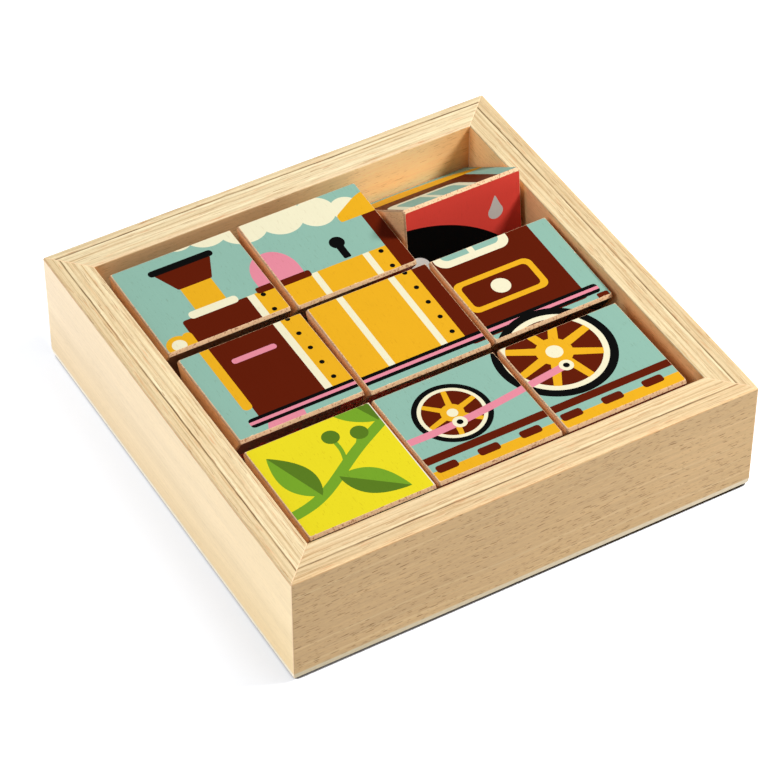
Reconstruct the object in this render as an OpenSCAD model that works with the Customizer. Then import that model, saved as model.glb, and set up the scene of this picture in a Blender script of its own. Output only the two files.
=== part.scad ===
// Rotating-block picture puzzle: nine three-sided wooden blocks that turn on
// three dowels inside a square mitred plywood tray.
// Units are millimetres. +Z is up, +X runs along the dowels, -Y is the front.
// The origin is at the middle of the tray's underside.

/* [Tray] */
// Outside width and depth of the square tray
tray_w = 200; // [199:0.5:204]
// Height of the tray's rails
tray_h = 52; // [51.5:0.5:56]
// Thickness of the plywood rails
rail_t = 15; // [14.5:0.1:15.4]
// Rounding of the rails' outer top edges
top_edge_r = 1.6; // [0.6:0.1:2.5]
// Rounding of the rails' outer bottom edges
bottom_edge_r = 2.6; // [0.6:0.1:3]
// Rounding of the four upright corners
corner_r = 1.5; // [0.6:0.1:2.5]
// Easing of the rails' inner top edges
inner_edge_r = 0.6; // [0.3:0.1:1]

/* [Base panel] */
// Thickness of the base panel
panel_t = 3; // [2:0.1:3.5]
// How far the panel stands below the rails' underside
panel_drop = 0.8; // [0.4:0.1:1]
// Width of the rabbet that the panel's edge fills
rabbet_w = 5; // [4:0.1:6]
// Clearance between the panel's edge and the rabbet
panel_gap = 0.25; // [0.1:0.05:0.5]
// Shank diameter of the panel pins
pin_d = 1.4; // [1:0.1:1.6]
// Length of the panel pins, head included
pin_l = 13; // [9:0.5:16]
// Head diameter of the panel pins
pin_head_d = 2.6; // [2.2:0.1:3]
// Head thickness of the panel pins
pin_head_t = 0.4; // [0.3:0.05:0.45]
// Depth of the pins' heads below the panel's underside
pin_sink = 0.3; // [0.2:0.05:0.5]

/* [Corner splines] */
// Thickness of the spline glued into each mitre
spline_t = 3; // [2:0.1:3.4]
// Width of the spline across the mitre
spline_w = 8; // [6:0.1:9]
// Height of the spline
spline_h = 36; // [24:1:40]

/* [Blocks] */
// Width of one printed face, across the axle
face_w = 49; // [48:0.1:49.4]
// Width of the bare strip along each long edge
strip_w = 1.6; // [1.5:0.1:2.2]
// Length of a block along its axle
block_l = 53.1; // [51:0.1:53.2]
// Depth of a level printed face below the tray's rim
top_recess = 3; // [1.5:0.1:3.5]
// Clearance between a turning block's corner and the tray's wall
wall_clear = 0.6; // [0.4:0.05:0.6]

/* [Axles and spacers] */
// Diameter of the dowels
axle_d = 8; // [6:0.1:9]
// Radial clearance of a block's bore on its dowel
bore_clear = 0.08; // [0.04:0.01:0.1]
// Depth of the blind holes that hold a dowel's ends
socket_depth = 8; // [5:0.5:10]
// Thickness of a spacer ring
spacer_t = 1; // [0.6:0.1:1]
// Outside diameter of a spacer ring
spacer_d = 14; // [11:0.5:18]
// Gap between the end blocks and the tray's walls, with the row centred
end_gap = 3.35; // [3.3:0.05:3.4]

/* [Rest position] */
// Turn of the back row's blocks about +X, left to right, in degrees
turn_back = [2, 4, -36.5]; // [-40:0.5:5]
// Turn of the middle row's blocks
turn_middle = [0.5, 3, 2]; // [0:0.5:5]
// Turn of the front row's blocks
turn_front = [0.5, 0, 0]; // [0:0.5:5]
// Shift of the back, middle and front rows along their dowels
row_shift = [0.7, 1.3, -0.8]; // [-1.3:0.1:1.3]
// Play taken up by each block of the back row, left to right
play_back = [-0.5, 0.35, 0.5]; // [-0.5:0.05:0.5]
// Play taken up by each block of the middle row
play_middle = [-0.15, 0.1, 0]; // [-0.5:0.05:0.5]
// Play taken up by each block of the front row
play_front = [0.4, -0.3, -0.3]; // [-0.5:0.05:0.5]

/* [Hidden] */
$fn = 64;

half = tray_w / 2;
inner = half - rail_t;                  // half the opening
side = face_w + 2 * strip_w;            // side of the full triangle
inr = side / (2 * sqrt(3));             // axis to a printed face
tip_r = 2 * inr - strip_w * sqrt(3) / 2;            // axis to a bare strip
reach = sqrt(tip_r * tip_r + strip_w * strip_w / 4);  // widest sweep of a block
row_pitch = inner - reach - wall_clear;
col_pitch = inner - end_gap - block_l / 2;
axle_z = tray_h - top_recess - inr;
bore_d = axle_d + 2 * bore_clear;
turns = [turn_back, turn_middle, turn_front];
plays = [play_back, play_middle, play_front];
row_y = [row_pitch, 0, -row_pitch];

plywood = [0.93, 0.80, 0.60];
beech = [0.87, 0.68, 0.50];
teal = [0.59, 0.76, 0.71];
golden = [0.95, 0.71, 0.15];
brown = [0.36, 0.11, 0.04];
yellow = [0.94, 0.88, 0.16];
red = [0.79, 0.24, 0.20];
steel = [0.72, 0.72, 0.74];

// Cutter that rounds an edge lying along +X at the origin; the solid is in +Y, +Z.
module edge_cutter(r, l) {
    difference() {
        translate([-l / 2, -1, -1]) cube([l, r + 1, r + 1]);
        translate([0, r, r]) rotate([0, 90, 0]) cylinder(r = r, h = l + 2, center = true);
    }
}

// Cutter that rounds an upright edge at the origin; the solid is in +X, +Y.
module upright_cutter(r, h) {
    difference() {
        translate([-1, -1, 0]) cube([r + 1, r + 1, h]);
        translate([r, r, -1]) cylinder(r = r, h = h + 2);
    }
}

// One mitred rail, drawn as the front rail: its outer face is at -Y.
module rail() {
    difference() {
        translate([0, 0, panel_drop]) linear_extrude(height = tray_h - panel_drop)
            polygon([[-half, -half], [half, -half], [inner, -inner], [-inner, -inner]]);
        // rabbet for the base panel
        translate([-half, -inner - rabbet_w, -1]) cube([tray_w, rabbet_w + 1, panel_t + 1]);
        // outer bottom and top edges, inner top edge
        translate([0, -half, panel_drop]) edge_cutter(bottom_edge_r, tray_w + 4);
        translate([0, -half, tray_h]) rotate([-90, 0, 0]) edge_cutter(top_edge_r, tray_w + 4);
        translate([0, -inner, tray_h]) rotate([180, 0, 0]) edge_cutter(inner_edge_r, tray_w + 4);
        // upright corners
        translate([-half, -half, -1]) upright_cutter(corner_r, tray_h + 2);
        translate([half, -half, -1]) rotate([0, 0, 90]) upright_cutter(corner_r, tray_h + 2);
        // slots for the corner splines
        for (s = [-1, 1]) spline_at(s, -1);
        // holes for the panel pins
        for (x = pin_places) translate([x, -inner - rabbet_w / 2, -1]) cylinder(d = pin_d, h = pin_sink + pin_l + 1);
    }
}

pin_places = [-inner + 22, 0, inner - 22];

// Solid of the spline in the corner on side sx, sy (each -1 or 1).
module spline_at(sx, sy) {
    m = (half + inner) / 2;
    translate([sx * m, sy * m, tray_h / 2])
        rotate([0, 0, sx * sy > 0 ? 45 : -45])
            cube([spline_t, spline_w, spline_h], center = true);
}

// Blind holes for the three dowels, cut from the left or right rail.
module sockets(sx) {
    for (y = row_y)
        translate([sx * (inner + socket_depth / 2 - 0.5), y, axle_z])
            rotate([0, 90, 0]) cylinder(d = axle_d, h = socket_depth + 1, center = true);
}

module rail_front() color(plywood) rail();
module rail_back() color(plywood) rotate([0, 0, 180]) rail();
module rail_left() color(plywood) difference() {
    rotate([0, 0, -90]) rail();
    sockets(-1);
}
module rail_right() color(plywood) difference() {
    rotate([0, 0, 90]) rail();
    sockets(1);
}

module spline_front_left() color(beech) spline_at(-1, -1);
module spline_front_right() color(beech) spline_at(1, -1);
module spline_back_left() color(beech) spline_at(-1, 1);
module spline_back_right() color(beech) spline_at(1, 1);

// Places of the pins round the panel.
module at_pins() {
    for (a = [0, 90, 180, 270]) rotate([0, 0, a])
        for (x = pin_places) translate([x, -inner - rabbet_w / 2, 0]) children();
}

module base_panel() color(plywood) difference() {
    w = 2 * (inner + rabbet_w - panel_gap);
    translate([-w / 2, -w / 2, 0]) cube([w, w, panel_t]);
    at_pins() {
        translate([0, 0, -1]) cylinder(d = pin_d, h = panel_t + 2);
        translate([0, 0, -1]) cylinder(d = pin_head_d, h = 1 + pin_sink + pin_head_t);
    }
}

module panel_pins() color(steel) at_pins() {
    translate([0, 0, pin_sink + pin_head_t]) cylinder(d = pin_d, h = pin_l - pin_head_t);
    translate([0, 0, pin_sink]) cylinder(d = pin_head_d, h = pin_head_t);
}

module axle(row) color(beech)
    translate([0, row_y[row], axle_z]) rotate([0, 90, 0])
        cylinder(d = axle_d, h = 2 * (inner + socket_depth), center = true);
module axle_back() axle(0);
module axle_middle() axle(1);
module axle_front() axle(2);

// Middle of a block along its dowel.
function block_x(row, col) = (col - 1) * col_pitch + row_shift[row] + plays[row][col];

// Rings in the middle of the four gaps of one row.
module spacers(row) color(beech) {
    ends = [-inner, block_x(row, 0) - block_l / 2, block_x(row, 0) + block_l / 2, block_x(row, 1) - block_l / 2,
            block_x(row, 1) + block_l / 2, block_x(row, 2) - block_l / 2, block_x(row, 2) + block_l / 2, inner];
    for (i = [0:3]) let (x = (ends[2 * i] + ends[2 * i + 1]) / 2) translate([x, row_y[row], axle_z]) rotate([0, 90, 0]) difference() {
        cylinder(d = spacer_d, h = spacer_t, center = true);
        cylinder(d = axle_d, h = spacer_t + 2, center = true);
    }
}
module spacers_back() spacers(0);
module spacers_middle() spacers(1);
module spacers_front() spacers(2);

// Corner points of a block's section: three printed faces, three bare strips.
function section() = [for (k = [0:2]) for (e = [-1, 1])
    let (a = 30 + 120 * k)
    [tip_r * cos(a) - e * strip_w / 2 * sin(a), tip_r * sin(a) + e * strip_w / 2 * cos(a)]];

module block(row, col, tint) color(tint)
    translate([block_x(row, col), row_y[row], axle_z])
        rotate([turns[row][col], 0, 0]) difference() {
            rotate([90, 0, 90]) linear_extrude(height = block_l, center = true) polygon(section());
            rotate([0, 90, 0]) cylinder(d = bore_d, h = block_l + 2, center = true);
        }
module block_back_left() block(0, 0, teal);
module block_back_middle() block(0, 1, golden);
module block_back_right() block(0, 2, red);
module block_middle_left() block(1, 0, teal);
module block_centre() block(1, 1, golden);
module block_middle_right() block(1, 2, brown);
module block_front_left() block(2, 0, yellow);
module block_front_middle() block(2, 1, brown);
module block_front_right() block(2, 2, teal);

rail_front();
rail_back();
rail_left();
rail_right();
spline_front_left();
spline_front_right();
spline_back_left();
spline_back_right();
base_panel();
panel_pins();
axle_back();
axle_middle();
axle_front();
spacers_back();
spacers_middle();
spacers_front();
block_back_left();
block_back_middle();
block_back_right();
block_middle_left();
block_centre();
block_middle_right();
block_front_left();
block_front_middle();
block_front_right();
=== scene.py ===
import math

import bmesh
import bpy
import numpy as np
from mathutils import Matrix, Vector, noise
from mathutils.geometry import delaunay_2d_cdt


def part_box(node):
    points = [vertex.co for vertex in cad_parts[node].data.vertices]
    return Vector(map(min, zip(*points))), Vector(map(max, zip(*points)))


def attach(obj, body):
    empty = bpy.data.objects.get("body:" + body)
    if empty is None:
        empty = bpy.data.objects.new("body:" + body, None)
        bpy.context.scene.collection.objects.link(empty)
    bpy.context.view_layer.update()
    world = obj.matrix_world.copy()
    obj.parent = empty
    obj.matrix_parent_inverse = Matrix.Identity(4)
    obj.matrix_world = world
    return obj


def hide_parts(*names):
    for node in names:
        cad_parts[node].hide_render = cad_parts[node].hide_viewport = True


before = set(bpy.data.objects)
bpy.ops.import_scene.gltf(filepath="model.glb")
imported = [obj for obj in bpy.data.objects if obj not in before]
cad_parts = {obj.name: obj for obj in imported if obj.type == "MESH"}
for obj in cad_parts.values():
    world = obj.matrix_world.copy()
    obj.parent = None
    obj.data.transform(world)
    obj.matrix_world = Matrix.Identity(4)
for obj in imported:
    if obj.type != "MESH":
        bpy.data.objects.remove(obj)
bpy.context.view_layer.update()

# ---------------------------------------------------------------- sizes, all in millimetres
MM = 0.001


def box(node):
    lo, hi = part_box(node)
    return np.array(lo) * 1000.0, np.array(hi) * 1000.0


RAILS = ("rail_front", "rail_back", "rail_left", "rail_right")
HALF = float(box("rail_right")[1][0])                 # half the tray's width
TALL = float(box("rail_front")[1][2])                 # the rim's height
RAIL_T = float(box("rail_front")[1][1] - box("rail_front")[0][1])
LOW = float(box("rail_front")[0][2])                  # underside of the rails
INNER = HALF - RAIL_T
PANEL_LO, PANEL_HI = box("base_panel")
ROWS = ("back", "middle", "front")
AXLES = {}
for r in ROWS:
    lo, hi = box("axle_" + r)
    AXLES[r] = {"y": float(lo[1] + hi[1]) / 2, "z": float(lo[2] + hi[2]) / 2, "r": float(hi[2] - lo[2]) / 2,
                "x0": float(lo[0]), "x1": float(hi[0])}
BLOCKS = [["block_back_left", "block_back_middle", "block_back_right"],
          ["block_middle_left", "block_centre", "block_middle_right"],
          ["block_front_left", "block_front_middle", "block_front_right"]]
BLOCK_L = float(box("block_centre")[1][0] - box("block_centre")[0][0])
FACE_W, STRIP_W = 49.0, 1.6                           # printed face and bare strip of a block's section
BORE_D = 8.16
END_L, END_RR = 0.75, 0.16                            # rounding of a block's left and right ends
EASE = 0.12                                           # easing along a block's long edges
SIDE = FACE_W + 2 * STRIP_W
INR = SIDE / (2 * math.sqrt(3))
TIP_R = 2 * INR - STRIP_W * math.sqrt(3) / 2
REACH = math.hypot(TIP_R, STRIP_W / 2)


def turn_of(node, axle):
    """How far a block is turned about +X at rest, read from the corners of its CAD solid, in (-60, 60] degrees."""
    co = np.array([v.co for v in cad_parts[node].data.vertices], float).reshape(-1, 3) * 1000
    y, z = co[:, 1] - axle["y"], co[:, 2] - axle["z"]
    far = np.hypot(y, z) > REACH - 0.05
    a = np.arctan2(z[far], y[far]) * 3
    mean = math.atan2(np.sin(a).mean(), np.cos(a).mean()) / 3
    return (math.degrees(mean) - 30 + 60) % 120 - 60


# ---------------------------------------------------------------- small helpers
def n1(*p):
    """Smooth noise in about -1..1 at a point."""
    return noise.noise(Vector(p if len(p) == 3 else (p[0], p[1] if len(p) > 1 else 0.37, 0.71)))


def new_object(name, mesh):
    ob = bpy.data.objects.new(name, mesh)
    bpy.context.scene.collection.objects.link(ob)
    return ob


def soft_shade(mesh, angle=35):
    mesh.polygons.foreach_set("use_smooth", [True] * len(mesh.polygons))
    mesh.set_sharp_from_angle(angle=math.radians(angle))
    mesh.update()


def mesh_from(name, verts, faces, scale=MM):
    me = bpy.data.meshes.new(name)
    me.from_pydata([tuple(c * scale for c in v) for v in verts], [], faces)
    me.validate(clean_customdata=False)
    me.update()
    return me


def lathe(name, profile, segs, axis_point, closed=True):
    """A turned piece about +X. profile is [(x, radius), ...] in millimetres, a closed loop when closed, and axis_point is (y, z)."""
    verts, faces = [], []
    n = len(profile)
    for x, r in profile:
        for i in range(segs):
            a = 2 * math.pi * i / segs
            verts.append((x, axis_point[0] + r * math.cos(a), axis_point[1] + r * math.sin(a)))
    for j in range(n if closed else n - 1):
        k = (j + 1) % n
        for i in range(segs):
            m = (i + 1) % segs
            faces.append((j * segs + i, j * segs + m, k * segs + m, k * segs + i))
    return verts, faces


def join_parts(parts):
    verts, faces = [], []
    for v, f in parts:
        off = len(verts)
        verts += v
        faces += [tuple(i + off for i in q) for q in f]
    return verts, faces


def recalc(mesh):
    bm = bmesh.new()
    bm.from_mesh(mesh)
    bmesh.ops.recalc_face_normals(bm, faces=bm.faces)
    bm.to_mesh(mesh)
    bm.free()


def cut(ob, cutters):
    """Cuts the cutter objects out of ob and leaves a plain mesh."""
    for c in cutters:
        m = ob.modifiers.new("cut", "BOOLEAN")
        m.operation = "DIFFERENCE"
        m.solver = "EXACT"
        m.object = c
    dg = bpy.context.evaluated_depsgraph_get()
    made = bpy.data.meshes.new_from_object(ob.evaluated_get(dg))
    old = ob.data
    ob.modifiers.clear()
    ob.data = made
    made.name = old.name + "_cut"
    bpy.data.meshes.remove(old)
    for c in cutters:
        me = c.data
        bpy.data.objects.remove(c)
        bpy.data.meshes.remove(me)


def box_object(name, centre, size, turn=0.0):
    me = bpy.data.meshes.new(name)
    bm = bmesh.new()
    bmesh.ops.create_cube(bm, size=1.0)
    m = Matrix.Translation(Vector(centre) * MM) @ Matrix.Rotation(turn, 4, "Z") @ Matrix.Diagonal((size[0] * MM, size[1] * MM, size[2] * MM, 1))
    bmesh.ops.transform(bm, matrix=m, verts=bm.verts)
    bm.to_mesh(me)
    bm.free()
    return new_object(name, me)


def rod_object(name, centre, d, l, axis, segs=40):
    me = bpy.data.meshes.new(name)
    bm = bmesh.new()
    bmesh.ops.create_cone(bm, cap_ends=True, segments=segs, radius1=d / 2 * MM, radius2=d / 2 * MM, depth=l * MM)
    rot = Matrix.Rotation(math.radians(90), 4, "Y") if axis == "X" else Matrix.Identity(4)
    bmesh.ops.transform(bm, matrix=Matrix.Translation(Vector(centre) * MM) @ rot, verts=bm.verts)
    bm.to_mesh(me)
    bm.free()
    return new_object(name, me)


# ---------------------------------------------------------------- materials
def lin(rgb):
    out = []
    for c in rgb:
        c = c / 255.0
        out.append(c / 12.92 if c <= 0.04045 else ((c + 0.055) / 1.055) ** 2.4)
    return (*out, 1.0)


class Graph:
    """A few words for building a node material."""

    def __init__(self, name):
        self.mat = bpy.data.materials.new(name)
        self.mat.use_nodes = True
        self.t = self.mat.node_tree
        self.t.nodes.clear()
        self.out = self.t.nodes.new("ShaderNodeOutputMaterial")
        self.p = self.t.nodes.new("ShaderNodeBsdfPrincipled")
        self.t.links.new(self.p.outputs["BSDF"], self.out.inputs["Surface"])
        self._xyz = None

    def put(self, socket, value):
        if isinstance(value, bpy.types.NodeSocket):
            self.t.links.new(value, socket)
        elif value is not None:
            socket.default_value = value

    def new(self, kind, **props):
        n = self.t.nodes.new(kind)
        for k, v in props.items():
            setattr(n, k, v)
        return n

    def math(self, op, a, b=None, c=None, clamp=False):
        n = self.new("ShaderNodeMath", operation=op, use_clamp=clamp)
        for i, v in enumerate((a, b, c)):
            if v is not None:
                self.put(n.inputs[i], v)
        return n.outputs[0]

    def add(self, a, b):
        return self.math("ADD", a, b)

    def mul(self, a, b):
        return self.math("MULTIPLY", a, b)

    def own(self):
        """A block's own coordinates in millimetres, with its dowel along x, as (x, y, z) sockets."""
        at = self.new("ShaderNodeAttribute", attribute_type="GEOMETRY", attribute_name="own")
        sep = self.new("ShaderNodeSeparateXYZ")
        self.put(sep.inputs[0], at.outputs["Vector"])
        return tuple(sep.outputs)

    def coords(self):
        """Object coordinates in millimetres as (x, y, z) sockets."""
        if self._xyz is None:
            tc = self.new("ShaderNodeTexCoord")
            s = self.new("ShaderNodeVectorMath", operation="SCALE")
            self.put(s.inputs[0], tc.outputs["Object"])
            s.inputs["Scale"].default_value = 1000.0
            sep = self.new("ShaderNodeSeparateXYZ")
            self.put(sep.inputs[0], s.outputs[0])
            self._xyz = tuple(sep.outputs)
        return self._xyz

    def normal(self):
        tc = self.new("ShaderNodeTexCoord")
        sep = self.new("ShaderNodeSeparateXYZ")
        self.put(sep.inputs[0], tc.outputs["Normal"])
        return tuple(sep.outputs)

    def vec(self, x, y, z):
        n = self.new("ShaderNodeCombineXYZ")
        for i, v in enumerate((x, y, z)):
            self.put(n.inputs[i], v)
        return n.outputs[0]

    def noise(self, v, scale=1.0, detail=2.0, rough=0.5, distortion=0.0):
        n = self.new("ShaderNodeTexNoise")
        self.put(n.inputs["Vector"], v)
        n.inputs["Scale"].default_value = scale
        n.inputs["Detail"].default_value = detail
        n.inputs["Roughness"].default_value = rough
        n.inputs["Distortion"].default_value = distortion
        return n.outputs["Fac"]

    def flecks(self, u, v, long, wide, size, keep, bias=None, crisp=0.45):
        """Short thin marks scattered at random along u, as a mask; long and wide are marks per millimetre along and across."""
        rowed = self.mul(v, wide)
        row = self.math("FLOOR", rowed)
        jump = self.new("ShaderNodeTexWhiteNoise", noise_dimensions="1D")
        self.put(jump.inputs["W"], row)
        n = self.new("ShaderNodeTexVoronoi", voronoi_dimensions="1D", feature="F1")
        self.put(n.inputs["W"], self.math("MULTIPLY_ADD", jump.outputs["Value"], 173.0, self.mul(u, long)))
        n.inputs["Scale"].default_value = 1.0
        sep = self.new("ShaderNodeSeparateColor")
        self.put(sep.inputs[0], n.outputs["Color"])
        across = self.math("SUBTRACT", self.math("SUBTRACT", rowed, row), self.math("MULTIPLY_ADD", sep.outputs[1], 0.4, 0.3))
        du = self.math("DIVIDE", n.outputs["Distance"], self.math("MULTIPLY_ADD", sep.outputs[2], size, size * 0.5))
        dv = self.math("DIVIDE", across, 0.27)
        far = self.math("SQRT", self.add(self.mul(du, du), self.mul(dv, dv)))
        pick = sep.outputs[0] if bias is None else self.add(sep.outputs[0], bias)
        return self.mul(self.mul(self.range(far, 1.0, crisp, 0.0, 1.0, True), self.range(pick, keep, keep * 0.8)), self.math("MULTIPLY_ADD", sep.outputs[1], 0.6, 0.4))

    def range(self, v, a, b, c=0.0, d=1.0, smooth=False):
        n = self.new("ShaderNodeMapRange", interpolation_type="SMOOTHSTEP" if smooth else "LINEAR", clamp=True)
        self.put(n.inputs["Value"], v)
        for k, x in (("From Min", a), ("From Max", b), ("To Min", c), ("To Max", d)):
            self.put(n.inputs[k], x)
        return n.outputs[0]

    def ramp(self, v, stops, interp="LINEAR"):
        n = self.new("ShaderNodeValToRGB")
        n.color_ramp.interpolation = interp
        el = n.color_ramp.elements
        while len(el) > 1:
            el.remove(el[-1])
        el[0].position, el[0].color = stops[0][0], stops[0][1]
        for p, c in stops[1:]:
            e = el.new(p)
            e.color = c
        self.put(n.inputs[0], v)
        return n.outputs[0]

    def mix(self, fac, a, b, blend="MIX"):
        n = self.new("ShaderNodeMix", data_type="RGBA", blend_type=blend)
        n.clamp_factor = True
        self.put(n.inputs[0], fac)
        self.put(n.inputs[6], a)
        self.put(n.inputs[7], b)
        return n.outputs[2]

    def scale(self, colour, k):
        """colour times the number k."""
        n = self.new("ShaderNodeVectorMath", operation="SCALE")
        self.put(n.inputs[0], colour)
        self.put(n.inputs["Scale"], k)
        return n.outputs[0]

    def finish(self, colour, rough, height=None, distance=0.05, specular=0.4, strength=1.0):
        self.put(self.p.inputs["Base Color"], colour)
        self.put(self.p.inputs["Roughness"], rough)
        self.p.inputs["Specular IOR Level"].default_value = specular
        if height is not None:
            b = self.new("ShaderNodeBump")
            b.inputs["Strength"].default_value = strength
            b.inputs["Distance"].default_value = distance * MM
            self.put(b.inputs["Height"], height)
            self.put(self.p.inputs["Normal"], b.outputs[0])
        return self.mat


# edges of the plies across a rail's top, from the outer face inwards: (distance, colour)
PLIES = [(0.0, (247, 216, 166)), (0.5, (246, 217, 170)), (0.95, (238, 208, 160)), (1.25, (232, 202, 154)), (1.6, (240, 212, 166)),
         (2.5, (231, 203, 157)), (2.85, (219, 190, 143)), (3.2, (238, 211, 165)), (4.1, (247, 221, 176)), (4.5, (233, 205, 158)),
         (4.80, (206, 176, 130)), (4.98, (188, 156, 111)), (5.16, (210, 181, 135)), (5.5, (245, 221, 176)), (6.1, (254, 234, 190)),
         (6.7, (241, 214, 168)), (7.0, (220, 191, 145)), (7.3, (238, 210, 163)), (7.9, (247, 222, 176)), (8.5, (236, 208, 162)),
         (8.85, (216, 186, 139)), (9.2, (238, 211, 165)), (9.9, (248, 224, 179)), (10.6, (250, 226, 181)), (11.0, (228, 200, 153)),
         (11.4, (243, 217, 171)), (12.3, (251, 228, 183)), (13.0, (253, 231, 186)), (13.6, (238, 211, 165)), (13.9, (222, 192, 146)),
         (14.3, (240, 212, 165)), (15.0, (244, 211, 165))]


def ply_material(name, axis, shift, outer, inner, seed, pores=0.6, lean=0.0, tint=(1, 1, 1), inner2=None, outer2=None, low=None,
                 foot=((222, 205, 170), (222, 205, 170)), split=(-50, 75), corner=None):
    """A plywood rail: ply edges on top and underneath, face veneer on the outside and inside.
    pores is how strongly the veneer's pores show, lean how much lighter it grows along the rail as painted light, tint
    the plies' tone, which differs between rails as painted light and shade."""
    g = Graph(name)
    x, y, z = g.coords()
    along, across = (x, y) if axis == "X" else (y, x)
    far = g.math("ABSOLUTE", across)
    d = g.math("SUBTRACT", HALF, far)
    s = g.add(along, seed * 311.7)

    # plies, wandering a little along the rail
    w1 = g.noise(g.vec(g.mul(s, 0.021), g.mul(d, 0.05), seed), detail=1)
    w2 = g.noise(g.vec(g.mul(s, 0.13), g.mul(d, 0.35), seed + 4.0), detail=2)
    wander = g.add(g.math("MULTIPLY_ADD", w1, 0.75, -0.375 + shift), g.math("MULTIPLY_ADD", w2, 0.42, -0.21))
    dd = g.add(d, wander)
    tone = [(p / 15.0, tuple(lin(c)[i] * tint[i] for i in range(3)) + (1.0,)) for p, c in PLIES]
    ply = g.ramp(g.math("DIVIDE", dd, 15.0), tone)
    # streaks along the rail, and a fine mottle
    streak = g.noise(g.vec(g.mul(s, 0.045), g.mul(d, 2.2), seed + 1.0), detail=3, rough=0.6)
    fine = g.noise(g.vec(g.mul(s, 0.55), g.mul(d, 1.9), seed + 2.0), detail=2, rough=0.65)
    patch = g.noise(g.vec(g.mul(s, 0.030), g.mul(d, 0.55), seed + 3.0), detail=2)
    k = g.add(g.math("MULTIPLY_ADD", streak, 0.34, 0.83), g.math("MULTIPLY_ADD", fine, 0.30, -0.15))
    fade = g.noise(g.vec(g.mul(s, 0.035), g.mul(d, 0.40), seed + 17.0), detail=1)
    plain = tuple(lin((238, 211, 165))[i] * tint[i] for i in range(3)) + (1.0,)
    top = g.scale(g.mix(g.range(fade, 0.40, 0.66, 0.0, 0.50, True), ply, plain), k)
    top = g.mix(g.range(patch, 0.52, 0.70, 0.0, 0.55), top, g.mix(1.0, top, lin((240, 222, 206)), "MULTIPLY"))
    # long thin brown lines, pale ones, reddish flecks and short dark dashes
    long_l = g.noise(g.vec(g.mul(s, 0.020), g.mul(dd, 1.9), seed + 12.0), detail=1)
    top = g.mix(g.range(long_l, 0.58, 0.72, 0.0, 0.60, True), top, g.mix(1.0, top, lin((218, 196, 164)), "MULTIPLY"))
    pale = g.noise(g.vec(g.mul(s, 0.05), g.mul(dd, 1.7), seed + 11.0), detail=1)
    top = g.mix(g.range(pale, 0.58, 0.74, 0.0, 0.60, True), top, g.mix(1.0, top, (1.20, 1.24, 1.30, 1.0), "MULTIPLY"))
    fleck = g.noise(g.vec(g.mul(s, 0.10), g.mul(dd, 1.25), seed + 7.0), detail=1)
    top = g.mix(g.range(fleck, 0.60, 0.74, 0.0, 0.60, True), top, g.mix(1.0, top, lin((246, 208, 190)), "MULTIPLY"))
    dash = g.flecks(g.add(s, seed * 13.0), g.add(dd, w2), 0.075, 1.7, 0.36, 0.22)
    top = g.mix(g.mul(dash, 0.75), top, g.mix(1.0, top, lin((176, 140, 112)), "MULTIPLY"))
    # the main glue line, which comes and goes
    come = g.noise(g.vec(g.mul(s, 0.045), 0.5, seed + 15.0), detail=2, rough=0.6)
    line = g.range(g.math("ABSOLUTE", g.math("SUBTRACT", dd, 4.98)), 0.10, 0.36, 1.0, 0.0, True)
    top = g.mix(g.mul(line, g.range(come, 0.38, 0.58, 0.12, 0.95)), top, lin((108, 82, 50)))
    bright = g.range(g.math("ABSOLUTE", g.math("SUBTRACT", dd, 5.62)), 0.12, 0.42, 1.0, 0.0, True)
    top = g.mix(g.mul(bright, g.range(streak, 0.40, 0.60, 0.25, 0.75)), top, g.mix(1.0, top, (1.16, 1.20, 1.26, 1.0), "MULTIPLY"))
    line2 = g.range(g.math("ABSOLUTE", g.math("SUBTRACT", dd, 1.25)), 0.06, 0.30, 1.0, 0.0, True)
    line3 = g.range(g.math("ABSOLUTE", g.math("SUBTRACT", dd, 8.85)), 0.06, 0.30, 1.0, 0.0, True)
    top = g.mix(g.mul(g.math("MAXIMUM", line2, line3), g.range(come, 0.60, 0.42, 0.0, 0.35)), top, lin((160, 128, 88)))

    # face veneer of the outside and inside
    band = g.noise(g.vec(g.mul(s, 0.009), g.mul(z, 0.11), g.add(g.mul(d, 0.3), seed + 20.0)), detail=3, rough=0.55)
    fibre = g.noise(g.vec(g.mul(s, 0.022), g.mul(z, 0.95), g.add(d, seed + 21.0)), detail=2, rough=0.6)
    grit = g.noise(g.vec(g.mul(s, 0.40), g.mul(z, 1.7), g.add(d, seed + 25.0)), detail=2, rough=0.65)
    where = g.noise(g.vec(g.mul(s, 0.016), g.mul(z, 0.06), g.add(d, seed + 26.0)), detail=1)
    drift = g.add(z, g.add(g.add(g.mul(w1, 5.0), g.mul(band, 3.0)), g.mul(d, 3.7)))
    bias = g.math("MULTIPLY_ADD", where, -0.36, 0.18)
    pore = g.flecks(g.add(s, 7.0), drift, 0.14, 1.12, 0.25, 0.32, bias, 0.55)
    pore2 = g.flecks(g.add(s, 91.0), g.add(drift, 31.3), 0.26, 1.45, 0.24, 0.30, bias, 0.60)
    light = g.noise(g.vec(g.mul(s, 0.005), g.mul(g.add(z, g.mul(w1, 3.0)), 0.62), g.add(d, seed + 24.0)), detail=1)
    # painted shadow and light: the inside runs from the darker inner colour to the lighter inner2 along the rail,
    # standing in for a shadow's edge and the lit wall beyond it
    inside = g.mix(g.range(along, split[0], split[1]), lin(inner), lin(inner2 or inner))
    # painted shade: the inside darkens towards the inner corners
    nook_shade = g.range(g.math("ABSOLUTE", along), INNER - 6.0, INNER, 0.0, 0.55, True)
    inside = g.mix(nook_shade, inside, g.mix(1.0, inside, lin((232, 200, 160)), "MULTIPLY"))
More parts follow.
